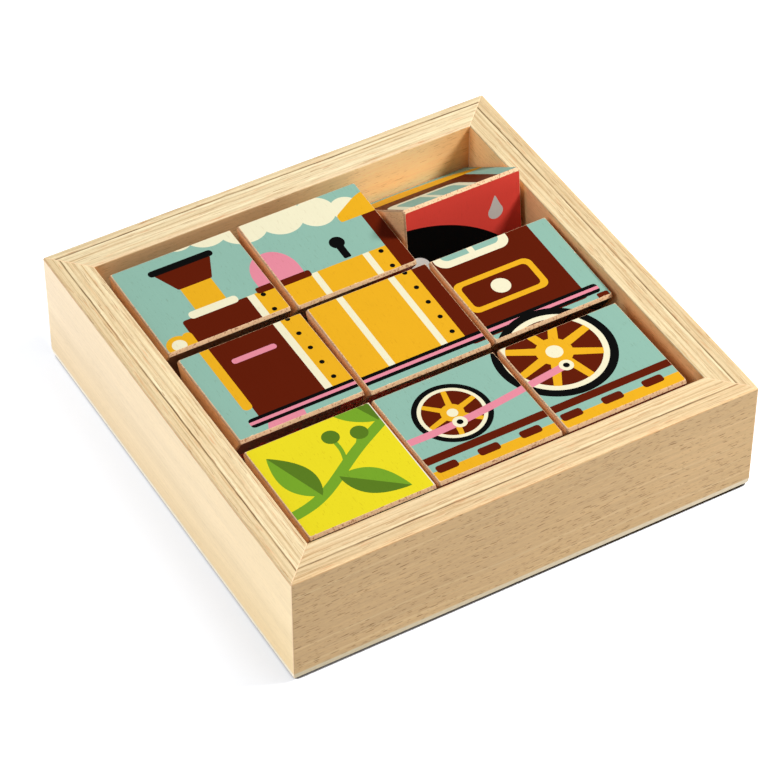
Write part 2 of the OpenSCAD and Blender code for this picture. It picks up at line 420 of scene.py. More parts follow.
    # painted shade: the inside grows darker and warmer low down and towards the corner
    if corner:
        inside = g.mix(g.range(z, 44.0, 34.0, 0.0, 0.8, True), inside, g.mix(1.0, inside, corner[1], "MULTIPLY"))
        inside = g.mix(g.range(along, 60.0, 80.0, 0.0, 1.0, True), inside, g.mix(1.0, inside, corner[0], "MULTIPLY"))
    # painted light: where outer2 is given, the outside's colour changes along the rail to stand in for how light falls
    # on it
    outside = g.mix(g.range(along, -HALF, HALF), lin(outer), lin(outer2 or outer))
    # painted shade: the outside grows darker and warmer towards the bottom
    if low:
        outside = g.mix(g.range(g.add(z, g.mul(band, 14.0)), 40.0, 12.0, 0.0, 1.0, True), outside, g.mix(1.0, outside, low, "MULTIPLY"))
    face = g.mix(g.range(d, 3.0, 9.0), outside, inside)
    tone = g.add(g.math("MULTIPLY_ADD", band, 0.24, 0.88), g.math("MULTIPLY_ADD", fibre, 0.30 * (0.4 + pores), -0.15 * (0.4 + pores)))
    tone = g.add(tone, g.math("MULTIPLY_ADD", grit, 0.20 * (0.5 + pores), -0.10 * (0.5 + pores)))
    # painted light: the veneer grows lighter along the rail
    if lean:
        tone = g.mul(tone, g.range(along, -HALF, HALF, 1.0 - lean, 1.0 + lean))
    face = g.scale(face, tone)
    face = g.mix(g.range(light, 0.60, 0.68, 0.0, 0.16 * (0.3 + pores), True), face, g.mix(0.6, face, lin((250, 224, 170)), "SCREEN"))
    face = g.mix(g.mul(pore, pores), face, g.mix(1.0, face, lin((156, 132, 40)), "MULTIPLY"))
    face = g.mix(g.mul(pore2, 0.8 * pores), face, g.mix(1.0, face, lin((184, 160, 88)), "MULTIPLY"))

    nz = g.normal()[2]
    up = g.range(g.add(nz, g.mul(g.math("SUBTRACT", fine, 0.5), 0.25)), 0.30, 0.62, 0.0, 1.0, True)
    colour = g.mix(up, face, top)
    # the rounded arris between them shows the veneer's own clean edge, lightened further as a painted highlight
    arris = g.mul(g.mul(g.range(nz, 0.06, 0.20), g.range(nz, 0.93, 0.70)), g.range(d, 4.0, 3.0))
    edge = tuple(lin((250, 211, 154))[i] * (0.45 + 0.55 * tint[i]) for i in range(3)) + (1.0,)
    colour = g.mix(g.mul(arris, g.range(g.add(streak, g.mul(fine, 0.3)), 0.45, 0.75, 0.10, 0.55)), colour, g.scale(g.mix(0.0, edge, edge), g.math("MULTIPLY_ADD", fine, 0.30, 0.85)))
    rim = g.mul(g.mul(g.range(nz, 0.10, 0.28), g.range(nz, 0.62, 0.40)), g.range(d, 2.0, 1.0))
    colour = g.mix(g.mul(rim, g.range(g.add(come, g.mul(fine, 0.25)), 0.52, 0.66, 0.0, 0.55)), colour, g.mix(1.0, colour, lin((214, 168, 128)), "MULTIPLY"))
    # underneath and on the bottom edges the pale inner plies show, lightened as a painted reflection of the white
    # floor, more on the better lit rails
    down = g.mul(g.range(g.add(z, g.math("MULTIPLY_ADD", fibre, 0.8, -0.4)), LOW + 3.5, LOW + 2.6, 0.0, 1.0, True), g.range(d, 3.0, 2.0))
    down = g.math("MAXIMUM", down, g.range(nz, -0.5, -0.8))
    pale_edge = g.mix(g.range(along, -HALF, HALF), lin(foot[0]), lin(foot[1]))
    colour = g.mix(down, colour, g.scale(g.mix(g.range(nz, -0.9, -0.98), pale_edge, ply), g.math("MULTIPLY_ADD", fine, 0.24, 0.88)))
    # the mitre: a thin pale line of glue
    gap = g.math("ABSOLUTE", g.math("SUBTRACT", g.math("ABSOLUTE", x), g.math("ABSOLUTE", y)))
    mitre = g.range(g.add(gap, g.math("MULTIPLY_ADD", fine, 0.3, -0.15)), 0.10, 0.42, 0.55, 0.0, True)
    colour = g.mix(mitre, colour, lin((250, 214, 176)))
    rough = g.math("MULTIPLY_ADD", streak, 0.18, 0.47)
    height = g.add(g.mix(up, g.mul(fibre, 0.6), g.add(g.mul(streak, 0.7), g.mul(fine, 0.5))), g.mul(pore, g.mul(g.math("SUBTRACT", up, 1.0), 0.7)))
    return g.finish(colour, rough, height, distance=0.05, specular=0.3)


def sheet_material(name, base, seed):
    """A plywood sheet lying flat: grain on its broad sides, plies on its edges."""
    g = Graph(name)
    x, y, z = g.coords()
    s = g.add(x, seed * 57.0)
    band = g.noise(g.vec(g.mul(s, 0.010), g.mul(y, 0.10), seed), detail=3, rough=0.55)
    fibre = g.noise(g.vec(g.mul(s, 0.09), g.mul(y, 2.2), seed + 1.0), detail=3, rough=0.6)
    pore = g.noise(g.vec(g.mul(s, 0.28), g.mul(y, 1.6), seed + 2.0), detail=1)
    c = g.scale(g.mix(0.0, lin(base), lin(base)), g.add(g.math("MULTIPLY_ADD", band, 0.34, 0.83), g.math("MULTIPLY_ADD", fibre, 0.18, -0.09)))
    c = g.mix(g.range(pore, 0.63, 0.70, 0.0, 0.7, True), c, g.mix(1.0, c, lin((176, 132, 96)), "MULTIPLY"))
    nz = g.math("ABSOLUTE", g.normal()[2])
    edge = g.ramp(g.math("FRACT", g.math("DIVIDE", g.add(z, g.math("MULTIPLY_ADD", fibre, 0.3, 0.0)), 2.0)), [(0.0, lin((236, 206, 160))), (0.42, lin((250, 226, 182))), (0.5, lin((176, 142, 98))), (0.58, lin((226, 192, 146))), (1.0, lin((236, 206, 160)))])
    c = g.mix(g.range(nz, 0.8, 0.4), c, edge)
    return g.finish(c, g.math("MULTIPLY_ADD", fibre, 0.2, 0.5), g.add(fibre, g.mul(g.range(pore, 0.6, 0.7), -0.6)), distance=0.04, specular=0.3)


def beech_material(name, base, end, seed, axis="Y", ringed=False):
    """Solid beech: fibres along one local axis, so the sides show grain and the ends show speckle."""
    g = Graph(name)
    x, y, z = g.coords()
    a, b, c = {"X": (x, y, z), "Y": (y, z, x)}[axis]
    a = g.add(a, seed * 57.3)
    fibre = g.noise(g.vec(g.mul(a, 0.12), g.mul(b, 2.4), g.mul(c, 2.4)), detail=3, rough=0.6)
    band = g.noise(g.vec(g.mul(a, 0.02), g.mul(b, 0.16), g.mul(c, 0.16)), detail=2)
    pore = g.noise(g.vec(g.mul(a, 0.5), g.mul(b, 3.0), g.mul(c, 3.0)), detail=1)
    speck = g.noise(g.vec(g.mul(a, 0.6), g.mul(b, 1.9), g.mul(c, 1.9)), detail=2, rough=0.7)
    n = g.normal()
    na = {"X": n[0], "Y": n[1]}[axis]
    isend = g.range(g.math("ABSOLUTE", na), 0.45, 0.80, 0.0, 1.0, True)
    side_c = g.scale(g.mix(0.0, lin(base), lin(base)), g.add(g.math("MULTIPLY_ADD", band, 0.34, 0.83), g.math("MULTIPLY_ADD", fibre, 0.22, -0.11)))
    side_c = g.mix(g.range(pore, 0.60, 0.70, 0.0, 0.55, True), side_c, g.mix(1.0, side_c, lin((180, 130, 95)), "MULTIPLY"))
    end_c = g.scale(g.mix(0.0, lin(end), lin(end)), g.add(g.math("MULTIPLY_ADD", band, 0.24, 0.88), g.math("MULTIPLY_ADD", speck, 0.50, -0.25)))
    end_c = g.mix(g.range(speck, 0.58, 0.68, 0.0, 0.5, True), end_c, g.mix(1.0, end_c, lin((190, 140, 110)), "MULTIPLY"))
    colour = g.mix(isend, side_c, end_c)
    height = g.add(fibre, g.mul(g.range(pore, 0.60, 0.70), -0.6))
    return g.finish(colour, g.math("MULTIPLY_ADD", fibre, 0.2, 0.5), height, distance=0.04, specular=0.35)


def block_material(name, seed):
    """A block's bare wood: the fibres run across the dowel, so the narrow strips show end grain."""
    g = Graph(name)
    x, y, z = g.own()
    y = g.add(y, seed * 91.3)
    n = g.normal()
    ends = g.range(g.math("ABSOLUTE", n[0]), 0.20, 0.75, 0.0, 1.0, True)
    fibre = g.noise(g.vec(g.mul(x, 2.2), g.mul(y, 0.11), g.mul(z, 2.2)), detail=3, rough=0.6)
    band = g.noise(g.vec(g.mul(x, 0.14), g.mul(y, 0.03), g.mul(z, 0.14)), detail=2)
    speck = g.noise(g.vec(g.mul(x, 0.95), g.mul(y, 0.8), g.mul(z, 0.95)), detail=3, rough=0.75)
    dot = g.noise(g.vec(g.mul(x, 1.15), g.mul(y, 1.0), g.mul(z, 1.15)), detail=1)
    pore = g.noise(g.vec(g.mul(x, 3.0), g.mul(y, 0.45), g.mul(z, 3.0)), detail=1)
    strip = g.scale(g.mix(0.0, lin((222, 184, 144)), lin((0, 0, 0))), g.add(g.math("MULTIPLY_ADD", band, 0.20, 0.90), g.math("MULTIPLY_ADD", speck, 0.66, -0.33)))
    strip = g.mix(g.range(dot, 0.56, 0.68, 0.0, 0.80, True), strip, lin((160, 108, 76)))
    strip = g.mix(g.range(speck, 0.62, 0.74, 0.0, 0.35, True), strip, lin((244, 220, 188)))
    side = g.scale(g.mix(0.0, lin((226, 178, 134)), lin((0, 0, 0))), g.add(g.math("MULTIPLY_ADD", band, 0.36, 0.82), g.math("MULTIPLY_ADD", fibre, 0.34, -0.17)))
    side = g.mix(g.range(pore, 0.60, 0.70, 0.0, 0.5, True), side, g.mix(1.0, side, lin((176, 126, 96)), "MULTIPLY"))
    # painted shade: the rounded ends are darkened where they face into the gaps between blocks
    bead_shade = g.mul(g.range(g.math("ABSOLUTE", n[0]), 0.10, 0.40), g.range(g.math("ABSOLUTE", n[0]), 0.99, 0.92))
    colour = g.mix(g.mul(bead_shade, 0.85), g.mix(ends, strip, side), g.mix(1.0, g.mix(ends, strip, side), (0.66, 0.68, 0.76, 1.0), "MULTIPLY"))
    height = g.add(g.mul(speck, 0.7), g.mul(fibre, 0.5))
    return g.finish(colour, g.math("MULTIPLY_ADD", speck, 0.2, 0.5), height, distance=0.06, specular=0.35)


INK_TONE = 0.73                                       # how light the printed colours are, against their swatches


def ink_material(name, rgb, wear=1.0, seed=0.0, rough=0.46):
    """Printed colour over fine wood: faint pores across the dowel, slight mottling, small chips along the print's edge."""
    g = Graph(name)
    uv = g.new("ShaderNodeUVMap", uv_map="grain")
    sep = g.new("ShaderNodeSeparateXYZ")
    g.put(sep.inputs[0], uv.outputs[0])
    u, w = sep.outputs[0], sep.outputs[1]
    uv2 = g.new("ShaderNodeUVMap", uv_map="place")
    sep2 = g.new("ShaderNodeSeparateXYZ")
    g.put(sep2.inputs[0], uv2.outputs[0])
    o = g.mul(sep2.outputs[0], 17.3)
    base = tuple(max(c * INK_TONE - v, 0.0) for c, v in zip(lin(rgb)[:3], (0.0, 0.0, 0.0))) + (1.0,)
    mott = g.noise(g.vec(g.mul(u, 0.09), g.mul(w, 0.05), o), detail=2)
    grain = g.noise(g.vec(g.mul(u, 2.0), g.mul(w, 0.10), o), detail=2, rough=0.6)
    pore = g.noise(g.vec(g.mul(u, 2.3), g.mul(w, 0.34), o), detail=1)
    press = g.noise(g.vec(g.mul(u, 3.6), g.mul(w, 3.6), o), detail=1)
    k = g.add(g.math("MULTIPLY_ADD", mott, 0.05, 0.975), g.math("MULTIPLY_ADD", grain, 0.06, -0.03))
    k = g.add(k, g.math("MULTIPLY_ADD", press, 0.03, -0.015))
    colour = g.scale(g.mix(0.0, base, base), k)
    mask = g.range(pore, 0.665, 0.74, 0.0, 1.0, True)
    colour = g.mix(g.mul(mask, 0.22 * wear), colour, g.mix(1.0, colour, lin((190, 160, 130)), "MULTIPLY"))
    # chips along the edge of the print
    eu = g.math("MINIMUM", g.add(u, BLOCK_L / 2 - END_L), g.math("SUBTRACT", BLOCK_L / 2 - END_RR, u))
    ew = g.math("SUBTRACT", FACE_W / 2, g.math("ABSOLUTE", w))
    e = g.math("MINIMUM", eu, ew)
    chip = g.noise(g.vec(g.mul(u, 0.55), g.mul(w, 0.55), o), detail=3, rough=0.6)
    bare = g.range(g.math("SUBTRACT", chip, g.mul(e, 0.35)), 0.60, 0.64, 0.0, 1.0, True)
    colour = g.mix(g.mul(bare, 0.85), colour, lin((240, 208, 172)))
    height = g.add(g.mul(grain, 0.5), g.add(g.mul(mask, -0.7), g.mul(bare, -0.6)))
    return g.finish(colour, g.math("MULTIPLY_ADD", grain, 0.12, rough - 0.06), height, distance=0.03, specular=0.05)


def steel_material(name):
    g = Graph(name)
    x, y, z = g.coords()
    n = g.noise(g.vec(g.mul(x, 1.5), g.mul(y, 1.5), g.mul(z, 1.5)), detail=3)
    fine = g.noise(g.vec(g.mul(x, 9.0), g.mul(y, 9.0), g.mul(z, 9.0)), detail=2)
    colour = g.mix(n, lin((150, 148, 146)), lin((190, 188, 186)))
    g.p.inputs["Metallic"].default_value = 1.0
    return g.finish(colour, g.math("MULTIPLY_ADD", fine, 0.3, 0.25), n, distance=0.02, specular=0.5)


# The four rails are one plywood; their outside and inside colours, ply tints and gradients differ from rail to rail as
# painted light and shade: the front's darker outside is painted shade, the back's lighter inside past its split is
# painted light with painted shade towards the corner, the left's paler outside and bottom edge are painted light, and
# the right's inside grows lighter towards the back as painted light.
MATS = {
    "rail_front": ply_material("ply_front", "X", -0.75, (194, 160, 112), (218, 184, 142), 1.0, pores=0.86, lean=0.05, tint=(0.77, 0.76, 0.755),
                               foot=((198, 183, 148), (220, 204, 172))),
    "rail_back": ply_material("ply_back", "X", 1.25, (214, 180, 136), (208, 168, 122), 2.0, pores=0.36, tint=(0.82, 0.88, 0.95), inner2=(255, 226, 172), split=(-5, 34),
                              corner=((0.98, 0.80, 0.66, 1.0), (1.0, 0.90, 0.86, 1.0))),
    "rail_left": ply_material("ply_left", "Y", 0.1, (246, 222, 178), (216, 182, 140), 3.0, pores=0.12, tint=(0.82, 0.85, 0.88),
                              outer2=(247, 225, 191), low=(0.985, 0.95, 0.86, 1.0), foot=((250, 238, 214), (254, 242, 222))),
    "rail_right": ply_material("ply_right", "Y", -1.1, (220, 186, 142), (234, 184, 130), 4.0, pores=0.45, tint=(0.735, 0.75, 0.755), inner2=(252, 208, 152)),
    "spline": sheet_material("ply_spline", (222, 186, 140), 5.0),
    "panel": sheet_material("ply_panel", (222, 186, 140), 6.0),
    "dowel": beech_material("beech_dowel", (228, 184, 140), (222, 176, 134), 7.0, "X"),
    "spacer": beech_material("beech_spacer", (226, 180, 136), (230, 186, 142), 8.0, "X"),
    "steel": steel_material("pin_steel"),
}
INKS = {
    "teal": ((150, 195, 180), 0.9), "brown": ((100, 27, 4), 0.25), "golden": ((244, 183, 34), 0.8),
    "cream": ((250, 245, 212), 0.6), "black": ((9, 9, 9), 0.1), "pink": ((238, 146, 166), 0.7),
    "yellow": ((243, 228, 38), 1.3), "green": ((122, 172, 44), 0.8), "leaf": ((92, 128, 34), 0.6),
    "umber": ((168, 106, 86), 0.6), "red": ((255, 82, 70), 0.9), "offwhite": ((226, 222, 216), 0.8), "white": ((288, 286, 284), 0.3), "primer": ((248, 245, 236), 0.5),
}
INK_MATS = {k: ink_material("ink_" + k, c, wear) for k, (c, wear) in INKS.items()}


# ---------------------------------------------------------------- the tray's rails
R_BOT, B_DEEP, R_TOP, R_IN, R_UP = 4.4, 0.9, 1.0, 0.6, 0.6    # bottom edge's height and depth, then the other roundings
RABBET_Z = float(PANEL_HI[2])
RABBET_D = RAIL_T - 5.0


def rail_profile():
    """The rail's section as (distance from the outer face, height, kind) going round once."""
    p = []
    for i in range(9):
        a = math.pi / 2 * i / 8
        p.append((B_DEEP - B_DEEP * math.sin(a), LOW + R_BOT - R_BOT * math.cos(a), "bottom"))
    for z in np.linspace(LOW + R_BOT + 0.4, TALL - R_TOP - 0.4, 14):
        p.append((0.0, float(z), "outer"))
    for i in range(9):
        a = math.pi / 2 * i / 8
        p.append((R_TOP - R_TOP * math.cos(a), TALL - R_TOP + R_TOP * math.sin(a), "arris"))
    d = R_TOP + 0.25
    while d < RAIL_T - R_IN - 0.1:
        p.append((d, TALL, "top"))
        d += 0.25
    for i in range(5):
        a = math.pi / 2 * i / 4
        p.append((RAIL_T - R_IN + R_IN * math.sin(a), TALL - R_IN + R_IN * math.cos(a), "arris"))
    for z in np.linspace(TALL - R_IN - 0.3, RABBET_Z, 12):
        p.append((RAIL_T, float(z), "inner"))
    p.append(((RAIL_T + RABBET_D) / 2, RABBET_Z, "rabbet"))
    p.append((RABBET_D, RABBET_Z, "rabbet"))
    p.append((RABBET_D, (RABBET_Z + LOW) / 2, "rabbet"))
    p.append((RABBET_D, LOW, "under"))
    for d in (RABBET_D * 0.8, RABBET_D * 0.6, RABBET_D * 0.4, B_DEEP + 0.6):
        p.append((d, LOW, "under"))
    return p


SHIFTS = {"rail_front": -0.75, "rail_back": 1.25, "rail_left": 0.1, "rail_right": -1.1}


def relief(d, s, seed, shift):
    """How far a point of the rail's top lies below the rim, for the plies' edges, in millimetres."""
    w = d + shift + 0.35 * n1(s * 0.021, seed) + 0.18 * n1(s * 0.13, seed + 3)
    deep = 0.16 * math.exp(-((w - 4.98) / 0.26) ** 2) * (0.75 + 0.5 * n1(s * 0.3, seed + 5))
    for at, k in ((1.25, 0.06), (2.85, 0.03), (7.0, 0.05), (8.85, 0.055), (11.0, 0.03), (13.9, 0.03)):
        deep += k * math.exp(-((w - at) / 0.3) ** 2)
    deep += 0.02 * (1 + n1(s * 0.08, d * 1.7, seed)) + 0.03 * (1 + n1(s * 0.012, d * 0.1, seed + 9))
    return max(0.0, deep)


def make_rail(name, seed):
    prof = rail_profile()
    arc = 5
    # places along the rail as shares of the straight part, closer together at the ends
    t = np.concatenate([-1 + 0.5 * (np.linspace(0, 1, 13) ** 1.6), np.linspace(-0.5, 0.5, 34)[1:-1], 1 - 0.5 * (np.linspace(1, 0, 13) ** 1.6)])
    rings = [("arc", -1, i) for i in range(arc, 0, -1)] + [("run", float(s), 0) for s in t] + [("arc", 1, i) for i in range(1, arc + 1)]
    verts = []
    for kind, s, i in rings:
        for d, z, what in prof:
            rho = R_UP - d
            if rho > 1e-6:
                x0, bow = HALF - R_UP, None
            else:
                bow = min(1.0, (d - R_UP) * 0.8 + 0.03)
                x0 = HALF - d - bow
            if kind == "run":
                x, y = s * x0, -(HALF - d)
            elif rho > 1e-6:
                a = math.radians(45) * i / arc
                x, y = s * (HALF - R_UP + rho * math.sin(a)), -(HALF - R_UP + rho * math.cos(a))
            else:
                x, y = s * (x0 + bow * i / arc), -(HALF - d)
            near = (HALF - d) - abs(x) if rho <= 1e-6 else (math.radians(45) * (1 - i / arc) * rho if kind == "arc" else 9.0)
            if what == "top" or (what == "arris" and z > TALL - 0.8):
                z = z - relief(d, x, seed, SHIFTS[name]) * (1.0 if what == "top" else 0.5)
                if near < 0.35:
                    z -= 0.10 * (1 - near / 0.35)
            elif what == "outer":
                y += 0.05 * (1 + n1(x * 0.03, z * 0.05, seed))
            elif what == "inner" and RABBET_Z < z < TALL - 2:
                y -= 0.04 * (1 + n1(x * 0.03, z * 0.05, seed + 7))
            if what == "arris":
                # small knocks and softening along the arris
                k = max(0.0, n1(x * 0.05, z * 0.3, seed + 13) - 0.1) * 0.35 + max(0.0, n1(x * 0.35, 0.2, seed + 17) - 0.45) * 0.5
                mid = 1.0 if 0.15 < (TALL - z) < 1.4 and d < 3 else 0.4
                y += k * 0.25 * mid * (1 if d < 3 else -1)
                z -= k * 0.25 * mid
            verts.append((x, y, z))
    n = len(prof)
    faces = []
    for j in range(len(rings) - 1):
        for i in range(n):
            k = (i + 1) % n
            faces.append((j * n + i, j * n + k, (j + 1) * n + k, (j + 1) * n + i))
    faces.append(tuple(range(n)))
    faces.append(tuple(reversed(range((len(rings) - 1) * n, len(rings) * n))))
    # the end caps must be flat in the mitre plane
    for j, s in ((0, -1), (len(rings) - 1, 1)):
        for i in range(n):
            x, y, z = verts[j * n + i]
            m = (abs(x) + abs(y)) / 2
            verts[j * n + i] = (s * m, -m, z)
    return verts, faces


ANGLE = {"rail_front": 0, "rail_right": 90, "rail_back": 180, "rail_left": 270}
rails = {}
for i, name in enumerate(RAILS):
    verts, faces = make_rail(name, 3.1 + 7.7 * i)
    me = mesh_from(name + "_wood", verts, faces)
    recalc(me)
    me.transform(Matrix.Rotation(math.radians(ANGLE[name]), 4, "Z"))
    ob = new_object(name + "_wood", me)
    cutters = []
    a = math.radians(ANGLE[name])
    turn = Matrix.Rotation(a, 3, "Z")
    mid = (HALF + INNER) / 2
    for s in (-1, 1):
        c = turn @ Vector((s * mid, -mid, TALL / 2))
        # thickness lies along the mitre, the width across it
        cutters.append(box_object("c", c, (3.0, 8.0, 36.0), math.radians(45) if c.x * c.y > 0 else math.radians(-45)))
    for px in (-(INNER - 22), 0.0, INNER - 22):
        c = turn @ Vector((px, -INNER - 2.5, 6.0))
        cutters.append(rod_object("c", c, 1.4, 15.0, "Z", 16))
    if name in ("rail_left", "rail_right"):
        sx = -1 if name == "rail_left" else 1
        for r in ROWS:
            ax = AXLES[r]
            deep = (ax["x1"] - INNER)
            cutters.append(rod_object("c", (sx * (INNER + deep / 2 - 1.0), ax["y"], ax["z"]), 2 * ax["r"] + 0.02, deep + 2.0, "X", 48))
    cut(ob, cutters)
    soft_shade(ob.data, 38)
    ob.data.materials.clear()
    ob.data.materials.append(MATS[name])
    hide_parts(name)
    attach(ob, "tray")
    rails[name] = ob


# ---------------------------------------------------------------- corner splines
def eased_box(size, r, segs=3):
    """A box of that size about the origin with rounded edges, as (verts, faces)."""
    me = bpy.data.meshes.new("t")
    bm = bmesh.new()
    bmesh.ops.create_cube(bm, size=1.0)
    bmesh.ops.transform(bm, matrix=Matrix.Diagonal((*size, 1)), verts=bm.verts)
    bmesh.ops.bevel(bm, geom=list(bm.edges), offset=r, segments=segs, profile=0.5, affect="EDGES")
    bm.to_mesh(me)
    bm.free()
    out = [tuple(v.co) for v in me.vertices], [tuple(p.vertices) for p in me.polygons]
    bpy.data.meshes.remove(me)
    return out


for node in ("spline_front_left", "spline_front_right", "spline_back_left", "spline_back_right"):
    lo, hi = box(node)
    c = (lo + hi) / 2
    verts, faces = eased_box((2.96, 7.8, 35.8), 0.35)
    me = mesh_from(node + "_key", verts, faces)
    me.transform(Matrix.Translation(Vector(c) * MM) @ Matrix.Rotation(math.radians(45 if c[0] * c[1] > 0 else -45), 4, "Z"))
    ob = new_object(node + "_key", me)
    soft_shade(me)
    me.materials.append(MATS["spline"])
    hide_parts(node)
    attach(ob, "tray")

# ---------------------------------------------------------------- base panel and its pins
for slot_i in range(max(1, len(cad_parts["base_panel"].data.materials))):
    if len(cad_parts["base_panel"].data.materials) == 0:
        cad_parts["base_panel"].data.materials.append(MATS["panel"])
    else:
        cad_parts["base_panel"].material_slots[slot_i].material = MATS["panel"]

pin_lo, pin_hi = box("panel_pins")
parts = []
for a in range(4):
    for px in (-(INNER - 22), 0.0, INNER - 22):
        c = Matrix.Rotation(math.radians(90 * a), 3, "Z") @ Vector((px, -INNER - 2.5, 0))
        z0 = float(pin_lo[2])
        prof = [(z0, 0.02), (z0 + 0.02, 0.7), (z0 + 0.10, 1.1), (z0 + 0.22, 1.27), (z0 + 0.38, 1.25), (z0 + 0.42, 0.68),
                (float(pin_hi[2]) - 2.2, 0.7), (float(pin_hi[2]) - 0.6, 0.28), (float(pin_hi[2]), 0.02)]
        verts, faces = lathe("p", prof, 16, (0, 0), closed=True)
        parts.append(([(c.x + v[1], c.y + v[2], v[0]) for v in verts], faces))
verts, faces = join_parts(parts)
me = mesh_from("panel_pins_steel", verts, faces)
recalc(me)
ob = new_object("panel_pins_steel", me)
soft_shade(me)
me.materials.append(MATS["steel"])
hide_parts("panel_pins")
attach(ob, "tray")

# ---------------------------------------------------------------- dowels and spacer rings
for r in ROWS:
    ax = AXLES[r]
    x0, x1, rad = ax["x0"], ax["x1"], ax["r"]
    prof = [(x0, 0.05), (x0, rad - 0.6), (x0 + 0.6, rad)]
    prof += [(float(x), rad) for x in np.linspace(x0 + 4, x1 - 4, 20)]
    prof += [(x1 - 0.6, rad), (x1, rad - 0.6), (x1, 0.05)]
    verts, faces = lathe("d", prof, 48, (ax["y"], ax["z"]), closed=True)
    me = mesh_from("axle_" + r + "_dowel", verts, faces)
    recalc(me)
    ob = new_object("axle_" + r + "_dowel", me)
    soft_shade(me)
    me.materials.append(MATS["dowel"])
    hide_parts("axle_" + r)
    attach(ob, "tray")

SPACER_T, SPACER_R = 1.0, 7.0
for i, r in enumerate(ROWS):
    ax = AXLES[r]
    b = [box(n) for n in BLOCKS[i]]
    gaps = [(-INNER, b[0][0][0]), (b[0][1][0], b[1][0][0]), (b[1][1][0], b[2][0][0]), (b[2][1][0], INNER)]
    parts = []
    for g0, g1 in gaps:
        m, h, e = (g0 + g1) / 2, SPACER_T / 2, 0.22
        prof = [(m - h, ax["r"] + e), (m - h + e, ax["r"]), (m + h - e, ax["r"]), (m + h, ax["r"] + e),
                (m + h, SPACER_R - e), (m + h - e * 0.3, SPACER_R - e * 0.3), (m + h - e, SPACER_R),
                (m - h + e, SPACER_R), (m - h + e * 0.3, SPACER_R - e * 0.3), (m - h, SPACER_R - e)]
        parts.append(lathe("s", prof, 40, (ax["y"], ax["z"]), closed=True))
    verts, faces = join_parts(parts)
    me = mesh_from("spacers_" + r + "_rings", verts, faces)
    recalc(me)
    ob = new_object("spacers_" + r + "_rings", me)
    soft_shade(me)
    me.materials.append(MATS["spacer"])
    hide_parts("spacers_" + r)
    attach(ob, "tray")


# ---------------------------------------------------------------- shapes for the pictures, in millimetres over the 3 x 3 faces
def disc(cx, cy, r, ry=None, turn=0.0, a0=0.0, a1=360.0):
    ry = r if ry is None else ry
    n = max(24, int((r + ry) * 3.14 / 0.8))
    full = a1 - a0 >= 359.9
    t = np.radians(np.linspace(a0, a1, n, endpoint=not full))
    c, s = math.cos(math.radians(turn)), math.sin(math.radians(turn))
    return [(cx + r * math.cos(a) * c - ry * math.sin(a) * s, cy + r * math.cos(a) * s + ry * math.sin(a) * c) for a in t]


def rounded(points, radii):
    """A polygon with rounded corners; radii is one number or one for each corner."""
    n = len(points)
    if not hasattr(radii, "__len__"):
        radii = [radii] * n
    out = []
    for i in range(n):
        p, a, b = (Vector(points[i]), Vector(points[i - 1]), Vector(points[(i + 1) % n]))
        r = radii[i]
        u, v = (a - p), (b - p)
        lu, lv = u.length, v.length
        u.normalize()
        v.normalize()
        ang = math.acos(max(-1, min(1, u.dot(v))))
        if r < 1e-3 or ang > math.pi - 0.02:
            out.append(tuple(p))
            continue
        cut_l = min(r / math.tan(ang / 2), lu * 0.49, lv * 0.49)
        r2 = cut_l * math.tan(ang / 2)
        c = p + (u + v).normalized() * (r2 / math.sin(ang / 2))
        p0, p1 = p + u * cut_l, p + v * cut_l
        t0, t1 = math.atan2(p0.y - c.y, p0.x - c.x), math.atan2(p1.y - c.y, p1.x - c.x)
        dt = (t1 - t0 + math.pi) % (2 * math.pi) - math.pi
        k = max(3, int(abs(dt) * r2 / 0.6))
        for j in range(k + 1):
            t = t0 + dt * j / k
            out.append((c.x + r2 * math.cos(t), c.y + r2 * math.sin(t)))
    return out


def plate(u0, v0, u1, v1, r=0.0):
    return rounded([(u0, v0), (u1, v0), (u1, v1), (u0, v1)], r)


def smooth_path(points, step=1.0):
    """Points along a Catmull-Rom curve through these points."""
    p = [Vector(q) for q in points]
    p = [2 * p[0] - p[1]] + p + [2 * p[-1] - p[-2]]
    out = []
    for i in range(1, len(p) - 2):
        n = max(2, int((p[i + 1] - p[i]).length / step))
        for j in range(n):
            t = j / n
            a, b, c, d = p[i - 1], p[i], p[i + 1], p[i + 2]
            out.append(0.5 * ((2 * b) + (c - a) * t + (2 * a - 5 * b + 4 * c - d) * t * t + (3 * b - a - 3 * c + d) * t ** 3))
    out.append(p[-2])
    return out


def ribbon(points, w0, w1=None, round_end=True):
    """A stroke along a smooth curve, w0 wide at its start and w1 at its end."""
    w1 = w0 if w1 is None else w1
    path = smooth_path(points)
    n = len(path)
    left, right = [], []
    for i, p in enumerate(path):
        t = (path[min(i + 1, n - 1)] - path[max(i - 1, 0)]).normalized()
        w = (w0 + (w1 - w0) * i / (n - 1)) / 2
        left.append((p.x - t.y * w, p.y + t.x * w))
        right.append((p.x + t.y * w, p.y - t.x * w))
    cap = []
    if round_end:
        t = (path[-1] - path[-2]).normalized()
        a = math.atan2(t.y, t.x)
        for j in range(1, 8):
            b = a - math.pi / 2 + math.pi * j / 8
            cap.append((path[-1].x + w1 / 2 * math.cos(b), path[-1].y + w1 / 2 * math.sin(b)))
    return right + cap + left[::-1]


